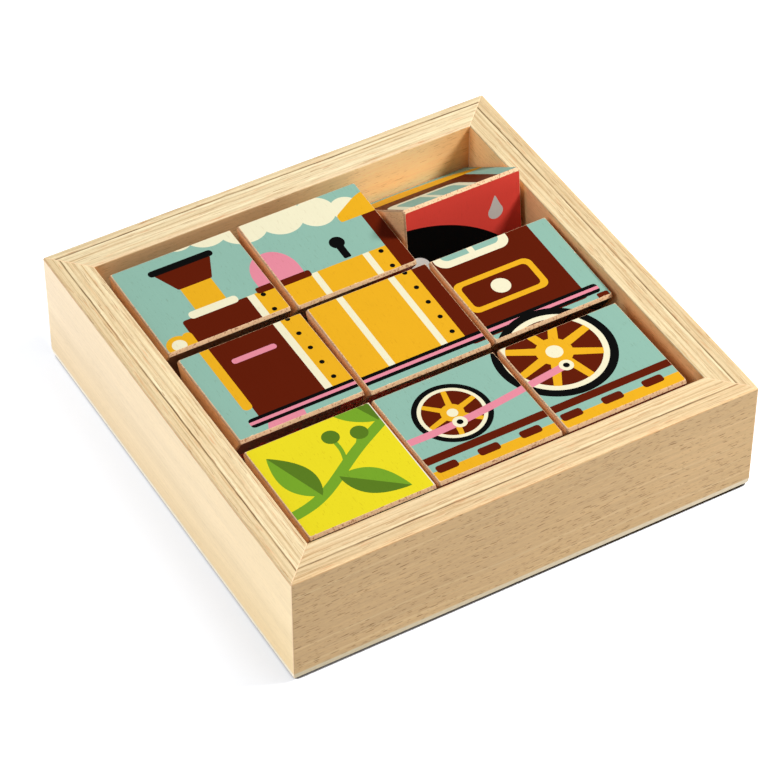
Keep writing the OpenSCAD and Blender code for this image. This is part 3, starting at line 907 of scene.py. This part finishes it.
def leaf(base, tip, width, half=None):
    """A leaf from base to tip; half is None, "left" or "right" of its midrib."""
    b, t = Vector(base), Vector(tip)
    d = t - b
    l = d.length
    d.normalize()
    nrm = Vector((-d.y, d.x))
    n = max(12, int(l / 1.0))
    side = [(b + d * (l * i / n), width / 2 * (math.sin(math.pi * (i / n) ** 0.85) ** 0.9 if 0 < i < n else 0)) for i in range(n + 1)]
    left = [tuple(p + nrm * w) for p, w in side]
    right = [tuple(p - nrm * w) for p, w in side]
    if half == "left":
        return left[::-1] + [tuple(side[i][0]) for i in range(1, n)]
    if half == "right":
        return right + [tuple(side[i][0]) for i in range(n - 1, 0, -1)]
    return right + left[::-1][1:-1]


BIG = [(-140, -140), (140, -140), (140, 140), (-140, 140)]


def wheel(cx, cy, r, spokes):
    s = [("black", disc(cx, cy, r)), ("cream", disc(cx, cy, r * 0.86)), ("brown", disc(cx, cy, r * 0.76))]
    for i in range(spokes):
        a = math.pi * 2 * i / spokes + 0.3
        c, d = math.cos(a), math.sin(a)
        w0, w1 = r * 0.085, r * 0.065
        s.append(("golden", [(cx + c * 1.0 - d * w0, cy + d * 1.0 + c * w0), (cx + c * 1.0 + d * w0, cy + d * 1.0 - c * w0),
                             (cx + c * r * 0.765 + d * w1, cy + d * r * 0.765 - c * w1), (cx + c * r * 0.765 - d * w1, cy + d * r * 0.765 + c * w1)]))
    s += [("golden", disc(cx, cy, r * 0.30)), ("cream", disc(cx, cy, r * 0.14))]
    return s


def picture_train():
    s = [("teal", BIG)]
    for cx, cy, r in ((-50, 86, 7), (-38, 85, 9.5), (-24, 80, 10), (-9, 77, 9.5), (5, 73, 8), (16.5, 69.5, 6.2), (25.5, 68, 4.2)):
        s.append(("cream", disc(cx, cy, r)))
    # ground and track
    s.append(("golden", [(-140, -140), (140, -140), (140, -75), (-140, -75)]))
    s.append(("brown", plate(-140, -71, 140, -67.2)))
    for i in range(-6, 7):
        s.append(("brown", plate(i * 18.0 - 6.0, -76.5, i * 18.0 + 3.0, -72.6, 1.2)))
    # cow catcher
    s.append(("pink", rounded([(-66, -18), (-86, -60), (-58, -60), (-52, -18)], [1, 2, 2, 1])))
    # boiler, smokebox, chimney, dome
    s.append(("golden", plate(-60, -18, 30, 44, 3)))
    s.append(("cream", plate(-13.4, -18, -10.6, 44)))
    s.append(("cream", plate(9.6, -18, 12.4, 44)))
    s.append(("brown", plate(-69, -18, -40, 44, 1.5)))
    s.append(("golden", plate(-72.5, -12, -68.5, 38, 1.8)))
    s.append(("cream", plate(-40.6, -18, -37.4, 44)))
    s.append(("pink", plate(-64, 12.2, -45, 15.0, 1.2)))
    s.append(("cream", plate(-65.0, 43.2, -44.0, 47.2, 1.6)))
    s.append(("golden", plate(-61.2, 47.2, -47.8, 60.5, 0.4)))
    s.append(("brown", rounded([(-67.5, 73.0), (-61.8, 60.0), (-47.2, 60.0), (-41.5, 73.0)], [1.6, 1, 1, 1.6])))
    s.append(("black", plate(-68.5, 71.0, -40.5, 74.4, 1.5)))
    s.append(("pink", disc(-24.5, 50, 9.5, 12.5, 0, 0, 180)))
    s.append(("pink", plate(-34, 43.5, -15, 51, 0.6)))
    s.append(("brown", plate(-36, 43, -13, 46.5, 1.0)))
    s.append(("black", plate(2.4, 45, 5.6, 53, 0.6)))
    s.append(("black", disc(4, 54.2, 3.2)))
    for v in (-12, -3, 6, 15, 24, 33, 42):
        s.append(("black", disc(-34.4, v, 1.05)))
        s.append(("black", disc(17.0, v, 1.05)))
    # lamp
    s.append(("brown", plate(-77, 26, -70, 30, 0.5)))
    s.append(("golden", disc(-75.5, 33, 5.2)))
    s.append(("cream", disc(-75.5, 33, 3.0)))
    # cab
    s.append(("brown", plate(20, -22, 73, 66, 2)))
    s.append(("cream", plate(30, 18, 63, 52, 5)))
    s.append(("teal", plate(33.5, 21.5, 59.5, 48.5, 3)))
    s.append(("cream", plate(45.2, 20, 47.8, 50)))
    s.append(("golden", plate(29, -9, 64, 9, 3.5)))
    s.append(("brown", plate(31.6, -6.4, 61.4, 6.4, 2.2)))
    s.append(("cream", disc(46.5, 0, 4.0)))
    s.append(("golden", rounded([(11, 63), (82, 63), (82, 67), (70, 74.5), (47, 77.5), (24, 74.5), (11, 67)], [1, 1, 2, 20, 40, 20, 2])))
    # footplate
    s.append(("black", plate(-74, -21.5, 79, -16.5, 1.5)))
    s.append(("pink", plate(-74, -19.8, 79, -18.2)))
    s.append(("brown", plate(76, -30, 81, -22, 0.8)))
    # wheels and rod
    s += wheel(-46, -51.5, 15.5, 6)
    s += wheel(-3.5, -51.5, 15.5, 6)
    s += wheel(47, -42.5, 24.5, 8)
    s.append(("pink", ribbon([(-46, -57), (-3.5, -57), (47, -51)], 3.4)))
    for cx, cy in ((-46, -57), (-3.5, -57), (47, -51)):
        s.append(("cream", disc(cx, cy, 2.9)))
        s.append(("black", disc(cx, cy, 1.3)))
    return s


def picture_leaves():
    s = [("yellow", BIG)]
    s.append(("green", ribbon([(-96, -70), (-70, -66), (-44, -50), (-10, -30), (22, 2), (48, 44), (58, 96)], 4.6, 3.6)))
    pairs = [((-67, -64.5), (-76, -38), 13), ((-57, -59), (-36, -76), 13), ((-30, -41), (-44, -8), 18), ((-18, -34), (20, -58), 18),
             ((6, -14), (-14, 24), 20), ((18, -2), (62, -18), 20), ((36, 22), (8, 60), 20), ((42, 32), (84, 34), 19), ((54, 68), (30, 92), 15), ((56, 76), (80, 90), 14)]
    for b, t, w in pairs:
        s.append(("green", leaf(b, t, w)))
        s.append(("leaf", leaf(b, t, w, "right")))
    for st, b in (((-52, -56), (-50, -40)), ((-50, -54.5), (-39.5, -43)), ((-2, -22), (12, -10)), ((-6, -25), (2, -4)), ((28, 10), (44, 6)), ((46, 46), (28, 42))):
        s.append(("green", ribbon([st, ((st[0] + b[0]) / 2 + 1.2, (st[1] + b[1]) / 2), b], 1.7)))
        s.append(("leaf", disc(b[0], b[1], 3.5)))
    for cx, cy, r in ((-62, 40, 15), (-66, 5, 7)):
        s.append(("green", disc(cx, cy, r)))
        s.append(("leaf", disc(cx + r * 0.2, cy - r * 0.1, r * 0.62)))
    return s


def picture_umbrella():
    s = [("red", BIG)]
    # a storm cloud along the top
    for cx, cy, r in ((-74, 76, 15), (-52, 80, 18), (-27, 78, 16), (-5, 84, 15)):
        s.append(("umber", disc(cx, cy, r)))
    s.append(("umber", plate(-140, 74, 6, 140)))
    # a leaning umbrella
    R, cx, cy, lean = 72.0, 22.0, 0.0, math.radians(-25)

    def at(a, b):
        return (cx + a * math.cos(lean) - b * math.sin(lean), cy + a * math.sin(lean) + b * math.cos(lean))

    s.append(("black", ribbon([at(0, 0), at(0, -30), at(0, -52), at(-5, -61), at(-13, -62), at(-18, -55)], 4.6)))
    s.append(("black", disc(cx, cy, R, R, math.degrees(lean), 0, 180)))
    s.append(("umber", disc(cx, cy, R * 0.93, R * 0.66, math.degrees(lean), 0, 180)))
    for k in (-0.56, -0.19, 0.19, 0.56):
        s.append(("black", ribbon([at(R * k, 0), at(R * k * 0.93, R * 0.25), at(R * k * 0.72, R * 0.5), at(R * k * 0.42, R * 0.72)], 1.7)))
    for i in range(5):
        w = 2 * R / 5
        px, py = at(-R + w * (i + 0.5), -1.0)
        s.append(("red", disc(px, py, w / 2 * 0.98, 7.5, math.degrees(lean))))
    s.append(("umber", plate(-140, 16, -38, 140)))
    for cx, r in ((-78, 9), (-62, 8), (-46, 9)):
        s.append(("umber", disc(cx, 17, r)))
    for px, py, r in ((31.5, 49.0, 8.2), (3.0, 50.0, 6.5), (58.0, 36.0, 6.0), (-22.0, 38.0, 5.5)):
        s.append(("white", disc(px, py, r)))
    for px, py in ((70, 66), (-74, -8), (-48, -14), (-70, -40), (-44, -66), (36, -48), (60, -70), (-14, -40), (76, -56), (12, -74)):
        s.append(("offwhite", rounded([(px, py + 7.0), (px - 3.2, py - 0.5), (px + 3.2, py - 0.5)], [0.3, 0.8, 0.8])))
        s.append(("offwhite", disc(px, py - 1.2, 3.4)))
    return s


PICTURES = [picture_train(), picture_leaves(), picture_umbrella()]


def ccw(poly):
    a = sum(poly[i - 1][0] * poly[i][1] - poly[i][0] * poly[i - 1][1] for i in range(len(poly)))
    return poly if a > 0 else poly[::-1]


# ---------------------------------------------------------------- the blocks
def corner_data():
    """For each of the six corners of a block's section: place and the outward normals of the edges before and after it, going round."""
    edges = []
    for k in range(3):
        edges.append((math.radians(30 + 120 * k), TIP_R))
        edges.append((math.radians(90 + 120 * k), INR))
    out = []
    for i in range(6):
        a1, d1 = edges[i]
        a2, d2 = edges[(i + 1) % 6]
        n_1, n_2 = Vector((math.cos(a1), math.sin(a1))), Vector((math.cos(a2), math.sin(a2)))
        det = n_1.x * n_2.y - n_1.y * n_2.x
        out.append((Vector(((d1 * n_2.y - d2 * n_1.y) / det, (n_1.x * d2 - n_2.x * d1) / det)), n_1, n_2, a1, a2))
    return out


CORNERS = corner_data()
ARC, FACE_N, STRIP_N, RUN_N, END_N = 4, 12, 2, 14, 6


def outline(delta):
    """The block's section moved inwards by delta, as a list of (y, z, tag). The tag is (edge number, share) or None on an easing."""
    pts = []
    n = len(CORNERS)
    ends = []
    for c, na, nb, a1, a2 in CORNERS:
        centre = c - (delta + EASE) * (na + nb) / 1.5
        arc = [centre + EASE * Vector((math.cos(a1 + (a2 - a1 + 2 * math.pi) % (2 * math.pi) * j / ARC), math.sin(a1 + (a2 - a1 + 2 * math.pi) % (2 * math.pi) * j / ARC))) for j in range(ARC + 1)]
        ends.append(arc)
    for i in range(n):
        pts += [(p.x, p.y) for p in ends[i]]
        a, b = ends[i][-1], ends[(i + 1) % n][0]
        m = FACE_N if i % 2 == 0 else STRIP_N     # after corner 0 comes a printed face
        pts += [((a.lerp(b, j / m)).x, (a.lerp(b, j / m)).y) for j in range(1, m)]
    return pts


def outline_index():
    """Where each straight edge lies in outline(): for printed faces and strips, the point numbers from end to end."""
    faces, strips, at = [], [], 0
    n = len(CORNERS)
    start = []
    for i in range(n):
        start.append(at)
        m = FACE_N if i % 2 == 0 else STRIP_N
        at += ARC + 1 + (m - 1)
    total = at
    for i in range(n):
        first = start[i] + ARC
        m = FACE_N if i % 2 == 0 else STRIP_N
        (faces if i % 2 == 0 else strips).append([(first + j) % total for j in range(m + 1)])
    return faces, strips, total


FACE_IX, STRIP_IX, OUT_N = outline_index()
FACE_ANGLES = [90, 210, 330]


def printed_face(k, shapes, at, primer_shift, xs):
    """The flat of printed face k as triangles. Returns (points (x, w), triangles, inks). xs are the places along the block."""
    pts0 = outline(0.0)
    a = math.radians(FACE_ANGLES[k] - 90)
    t = (math.cos(a), math.sin(a))
    ws = sorted(pts0[i][0] * t[0] + pts0[i][1] * t[1] for i in FACE_IX[k])
    x0, x1, w0, w1 = xs[0], xs[-1], ws[0], ws[-1]
    m = 0.02
    edge = ccw(plate(x0 + m, w0 + m, x1 - m, w1 - m, 0.8))
    dx, dy, gx, gy = primer_shift
    tint = ccw(plate(x0 + m - gx + dx, w0 + m - gy + dy, x1 - m + gx + dx, w1 - m + gy + dy, 0.8))
    polys, inks = [edge, tint], ["primer", "primer"]
    for ink, poly in shapes:
        q = [(p[0] - at[0], p[1] - at[1]) for p in poly]
        if max(p[0] for p in q) < x0 or min(p[0] for p in q) > x1 or max(p[1] for p in q) < w0 or min(p[1] for p in q) > w1:
            continue
        if len(q) == 4 and abs(q[0][0] - q[2][0]) > 200 and abs(q[0][1] - q[2][1]) > 200:
            inks[1] = ink          # the ground fills the whole tint
            continue
        polys.append(ccw(q))
        inks.append(ink)
    verts, faces = [], []
    for p in polys:
        faces.append(list(range(len(verts), len(verts) + len(p))))
        verts += [Vector(q) for q in p]
    vo, eo, fo, ov, oe, of = delaunay_2d_cdt(verts, [], faces, 0, 1e-5)
    tris, tri_inks = [], []
    for f, src in zip(fo, of):
        if 0 not in src:
            continue
        if 1 not in src:
            ink = "primer"
        else:
            ink = inks[max(src)]
        tris.append(tuple(f))
        tri_inks.append(ink)
    # the boundary that the print really has, with every point where a shape meets it
    count = {}
    for f in tris:
        for i in range(3):
            e = (f[i - 1], f[i])
            key = (min(e), max(e))
            count[key] = count.get(key, 0) + 1
    nxt = {}
    for f in tris:
        for i in range(3):
            e = (f[i - 1], f[i])
            if count[(min(e), max(e))] == 1:
                nxt[e[0]] = e[1]
    loop = [next(iter(nxt))]
    while nxt[loop[-1]] != loop[0]:
        loop.append(nxt[loop[-1]])
    # bare margin between the print and the flat's own edge
    rim = [(x, w0) for x in xs] + [(x1, w) for w in ws[1:]] + [(x, w1) for x in xs[::-1][1:]] + [(x0, w) for w in ws[::-1][1:-1]]
    v2 = [Vector(q) for q in rim] + [Vector(vo[i]) for i in loop]
    f2 = [list(range(len(rim))), list(range(len(rim), len(v2)))]
    a_v, a_e, a_f, b_v, b_e, b_f = delaunay_2d_cdt(v2, [], f2, 0, 1e-6)
    points = [tuple(v) for v in vo]
    off = len(points)
    points += [tuple(v) for v in a_v]
    out_t, out_i = list(tris), list(tri_inks)
    for f, src in zip(a_f, b_f):
        if 0 in src and 1 not in src:
            out_t.append(tuple(i + off for i in f))
            out_i.append("wood")
    return points, out_t, out_i


def make_block(name, row, col, order, seed):
    """order gives the picture on the faces at 90, 210 and 330 degrees."""
    verts, faces, mats, uvs, place = [], [], [], [], []
    lookup = {}

    def vert(x, y, z):
        key = (round(x, 3), round(y, 3), round(z, 3))
        if key not in lookup:
            lookup[key] = len(verts)
            verts.append((x, y, z))
        return lookup[key]

    def face(ids, mat, uv=None, spot=0.0):
        ids2, uv2 = [], []
        for j, i in enumerate(ids):
            if i not in ids2:
                ids2.append(i)
                uv2.append(uv[j] if uv else (0.0, 0.0))
        if len(ids2) < 3:
            return
        faces.append(ids2)
        mats.append(mat)
        uvs.append(uv2)
        place.append(spot)

    h = BLOCK_L / 2
    xs = [float(x) for x in np.linspace(-h + END_L, h - END_RR, RUN_N + 1)]
    base = outline(0.0)
    # printed faces
    rng = np.random.default_rng(1000 + int(seed))
    for k in range(3):
        a = math.radians(FACE_ANGLES[k] - 90)
        t, nr = (math.cos(a), math.sin(a)), (math.cos(a + math.pi / 2), math.sin(a + math.pi / 2))
        shift = [float(v) for v in (rng.uniform(-0.10, 0.10), rng.uniform(-0.10, 0.10))]
        if name == "block_front_left" and k == 0:
            shift = [-0.42, -0.05]
        pts, tris, inks = printed_face(k, PICTURES[order[k]], ((col - 1) * COL_PITCH, ROW_Y[row]), (*shift, 0.09, 0.09), xs)
        for f, ink in zip(tris, inks):
            ids, uv = [], []
            for i in f:
                x, w = pts[i]
                ids.append(vert(x, w * t[0] + INR * nr[0], w * t[1] + INR * nr[1]))
                uv.append((x, w))
            face(ids, 0 if ink == "wood" else 1 + INK_ORDER.index(ink), uv, float(seed + 3.7 * k))
    # bare strips with their easings
    for s in range(3):
        ix = STRIP_IX[s]
        whole = [(ix[0] - ARC + j) % OUT_N for j in range(ARC)] + ix + [(ix[-1] + 1 + j) % OUT_N for j in range(ARC)]
        for i in range(len(xs) - 1):
            for j in range(len(whole) - 1):
                p, q = base[whole[j]], base[whole[j + 1]]
                face([vert(xs[i], *p), vert(xs[i + 1], *p), vert(xs[i + 1], *q), vert(xs[i], *q)], 0)
    # rounded ends, end faces and bore
    for sx in (-1, 1):
        er = END_L if sx < 0 else END_RR
        rings = [(h - er, base)]
        for j in range(1, END_N + 1):
            a = math.pi / 2 * j / END_N
            rings.append((h - er + er * math.sin(a), outline(er * (1 - math.cos(a)))))
        rings.append((h, outline(er + 0.3)))
        for (xa, pa), (xb, pb) in zip(rings, rings[1:]):
            for i in range(OUT_N):
                m = (i + 1) % OUT_N
                face([vert(sx * xa, *pa[i]), vert(sx * xa, *pa[m]), vert(sx * xb, *pb[m]), vert(sx * xb, *pb[i])], 0)
        loop = rings[-1][1]
        seg = 48
        hole = [((BORE_D / 2 + 0.5) * math.cos(2 * math.pi * i / seg), (BORE_D / 2 + 0.5) * math.sin(2 * math.pi * i / seg)) for i in range(seg)]
        v2 = [Vector(q) for q in loop] + [Vector(q) for q in hole]
        out = delaunay_2d_cdt(v2, [], [list(range(len(loop))), list(range(len(loop), len(v2)))], 0, 1e-6)
        for f, src in zip(out[2], out[5]):
            if 0 in src and 1 not in src:
                face([vert(sx * h, *out[0][i]) for i in f], 0)
        bore = [(h, BORE_D / 2 + 0.5), (h - 0.5, BORE_D / 2)]
        for (xa, ra), (xb, rb) in zip(bore, bore[1:]):
            for i in range(seg):
                a, b = 2 * math.pi * i / seg, 2 * math.pi * (i + 1) / seg
                face([vert(sx * xa, ra * math.cos(a), ra * math.sin(a)), vert(sx * xa, ra * math.cos(b), ra * math.sin(b)),
                      vert(sx * xb, rb * math.cos(b), rb * math.sin(b)), vert(sx * xb, rb * math.cos(a), rb * math.sin(a))], 0)
    bx = [float(v) for v in np.linspace(-h + 0.5, h - 0.5, 9)]
    for xa, xb in zip(bx, bx[1:]):
        for i in range(48):
            a, b = 2 * math.pi * i / 48, 2 * math.pi * (i + 1) / 48
            r = BORE_D / 2
            face([vert(xa, r * math.cos(a), r * math.sin(a)), vert(xa, r * math.cos(b), r * math.sin(b)),
                  vert(xb, r * math.cos(b), r * math.sin(b)), vert(xb, r * math.cos(a), r * math.sin(a))], 0)
    me = bpy.data.meshes.new(name + "_wood")
    me.from_pydata([tuple(c * MM for c in v) for v in verts], [], faces)
    me.polygons.foreach_set("material_index", mats)
    grain = me.uv_layers.new(name="grain")
    spot = me.uv_layers.new(name="place")
    gv = [c for f in uvs for uv in f for c in uv]
    sv = [c for f, p in zip(uvs, place) for _ in f for c in (p, 0.0)]
    grain.data.foreach_set("uv", gv)
    spot.data.foreach_set("uv", sv)
    own = me.attributes.new("own", "FLOAT_VECTOR", "POINT")
    own.data.foreach_set("vector", [c for v in verts for c in v])
    me.update()
    recalc(me)
    return me


INK_ORDER = list(INKS)
ROW_Y = [AXLES[r]["y"] for r in ROWS]
COL_PITCH = float((box(BLOCKS[1][2])[0][0] - box(BLOCKS[1][0])[0][0]) / 2)
for row in range(3):
    for col in range(3):
        name = BLOCKS[row][col]
        seed = 1 + row * 3 + col
        # the block at the front left has been turned a third of the way round, to its second picture
        order = (1, 0, 2) if name == "block_front_left" else (0, 2, 1)
        if name == "block_front_left":
            order = (1, 0, 2)
        me = make_block(name, row, col, order, seed)
        me.materials.append(block_material("beech_" + name, float(seed)))
        for k in INK_ORDER:
            me.materials.append(INK_MATS[k])
        soft_shade(me, 40)
        lo, hi = box(name)
        ax = AXLES[ROWS[row]]
        turn = turn_of(name, ax)
        me.transform(Matrix.Translation(Vector(((lo[0] + hi[0]) / 2 * MM, ax["y"] * MM, ax["z"] * MM))) @ Matrix.Rotation(math.radians(turn), 4, "X"))
        me.update()
        ob = new_object(name + "_wood", me)
        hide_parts(name)
        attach(ob, name)

# ---------------------------------------------------------------- floor, light, camera
g = Graph("floor_white")
x, y, z = g.coords()
# painted shadow: ambient-occlusion masks darken the floor to a dark brown contact line along the tray's foot and a soft
# shade beside the left rail; elsewhere the floor glows evenly white
near = g.new("ShaderNodeAmbientOcclusion", samples=32, only_local=False)
near.inputs["Distance"].default_value = 4.0 * MM
wide = g.new("ShaderNodeAmbientOcclusion", samples=12, only_local=False)
wide.inputs["Distance"].default_value = 28.0 * MM
# the painted contact line is kept faint along the left rail and slightly lighter towards the left end
left_side = g.range(x, -HALF + 2.0, -HALF + 0.2)
open_sky = g.math("MAXIMUM", g.range(near.outputs["AO"], 0.455, 0.515, 0.0, 1.0, True), g.math("MAXIMUM", g.mul(left_side, 0.90), g.range(x, -HALF, 40.0, 0.10, 0.0)))
# painted shadow: a soft shade on the floor beside the left rail, stronger towards the front
left_painted_shade = g.mul(g.mul(left_side, g.range(wide.outputs["AO"], 0.98, 0.56)), g.range(y, HALF, -HALF, 0.11, 0.24))
open_sky = g.mul(open_sky, g.math("SUBTRACT", 1.0, left_painted_shade))
g.p.inputs["Emission Color"].default_value = (0.980, 0.997, 1.025, 1)
g.put(g.p.inputs["Emission Strength"], g.mul(open_sky, 0.80))
even = g.math("MULTIPLY_ADD", g.noise(g.vec(x, y, z), 0.02, 2), 0.004, 0.998)
# the dark brown base colour is the painted contact shadow's colour
g.finish(g.scale(g.mix(open_sky, (0.050, 0.032, 0.014, 1), (0.430, 0.447, 0.492, 1)), even), 0.9, specular=0.0)
me = mesh_from("floor", [(-4000, -4000, 0), (4000, -4000, 0), (4000, 4000, 0), (-4000, 4000, 0)], [(0, 1, 2, 3)])
floor = new_object("floor", me)
me.materials.append(g.mat)

scene = bpy.context.scene
world = bpy.data.worlds.new("studio")
scene.world = world
world.use_nodes = True
bg = next(n for n in world.node_tree.nodes if n.type == "BACKGROUND")
bg.inputs["Color"].default_value = (1.0, 0.99, 0.97, 1)
bg.inputs["Strength"].default_value = 0.24


def area(name, place, target, size, power, colour=(1, 1, 1)):
    lamp = bpy.data.lights.new(name, "AREA")
    lamp.shape = "RECTANGLE"
    lamp.size, lamp.size_y = size
    lamp.energy = power
    lamp.color = colour
    ob = bpy.data.objects.new(name, lamp)
    scene.collection.objects.link(ob)
    ob.location = place
    ob.rotation_mode = "QUATERNION"
    ob.rotation_quaternion = (Vector(target) - Vector(place)).to_track_quat("-Z", "Y")
    return ob


area("key_left", (-1.30, 0.05, 0.80), (0, 0, 0.03), (1.1, 1.1), 9.3, (1.0, 0.985, 0.96))
area("fill_right", (0.98, -0.36, 1.16), (0, 0, 0.03), (0.4, 0.4), 30.0, (1.0, 0.985, 0.96))

cam_data = bpy.data.cameras.new("camera")
cam_data.sensor_width = 36.0
cam_data.lens = 157.55
cam_data.clip_start, cam_data.clip_end = 0.05, 20.0
cam = bpy.data.objects.new("camera", cam_data)
scene.collection.objects.link(cam)
right, up, back = (0.8651902, -0.5014439, 0.0000215), (0.3491753, 0.6024971, 0.7176865), (-0.3598924, -0.6209278, 0.6963663)
cam.matrix_world = Matrix((
    (right[0], up[0], back[0], -0.479165), (right[1], up[1], back[1], -0.823896), (right[2], up[2], back[2], 0.940097), (0, 0, 0, 1)))
scene.camera = cam
scene.view_settings.view_transform = "Standard"
